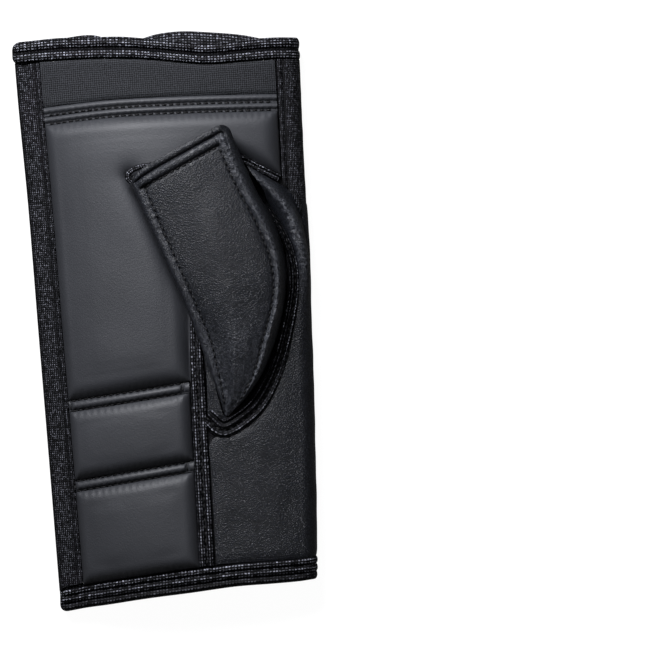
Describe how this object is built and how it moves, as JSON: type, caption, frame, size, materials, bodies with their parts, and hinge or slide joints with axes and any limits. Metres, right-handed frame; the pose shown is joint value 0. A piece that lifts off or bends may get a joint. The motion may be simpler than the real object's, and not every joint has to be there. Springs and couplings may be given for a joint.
{
  "type": "wheelchair push glove",
  "caption": "Open-finger push glove for a wheelchair user, lying palm up: padded leather palm, thumb stall, woven bindings and a wrap-round closure flap.",
  "frame": {"origin": "bottom centre of the bounding box, on the floor that the back of the glove lies on", "axes": "+X to the thumb side, +Y to the finger end, +Z out of the palm"},
  "size_m": [0.1149, 0.2328, 0.0358],
  "materials": {
    "smooth_leather": "smooth synthetic leather, soft sheen",
    "grained_leather": "pebble-grained synthetic leather",
    "woven_tape": "ribbed woven binding tape",
    "loop_pile": "hook-and-loop pile, matte",
    "knit_cloth": "fine knit over foam",
    "twill_cloth": "crosshatched nylon",
    "band_cloth": "fine-grained matte cloth",
    "patch_leather": "matte, plain"
  },
  "bodies": {
    "root": {"palm_panel": "knit_cloth", "palm_pad": "smooth_leather", "finger_band": "band_cloth", "heel_pad": "smooth_leather", "wrist_pad": "smooth_leather", "finger_tuck": "smooth_leather", "pad_tuck": "smooth_leather", "heel_tuck": "smooth_leather", "wrist_tuck": "smooth_leather", "thumb_gusset": "grained_leather", "thumb_stall_top": "grained_leather", "thumb_stall_under": "grained_leather", "pinky_binding": "woven_tape", "thumb_edge_binding": "woven_tape", "palm_finger_binding": "woven_tape", "palm_wrist_binding": "woven_tape", "back_finger_binding": "woven_tape", "back_wrist_binding": "woven_tape", "seam_tape": "woven_tape", "thumb_binding": "woven_tape", "closure_flap": "twill_cloth", "flap_binding": "woven_tape", "flap_patch": "patch_leather", "back_panel": "knit_cloth", "loop_panel_pinky": "loop_pile", "loop_panel_thumb": "loop_pile", "back_pad": "smooth_leather"}
  },
  "joints": []
}
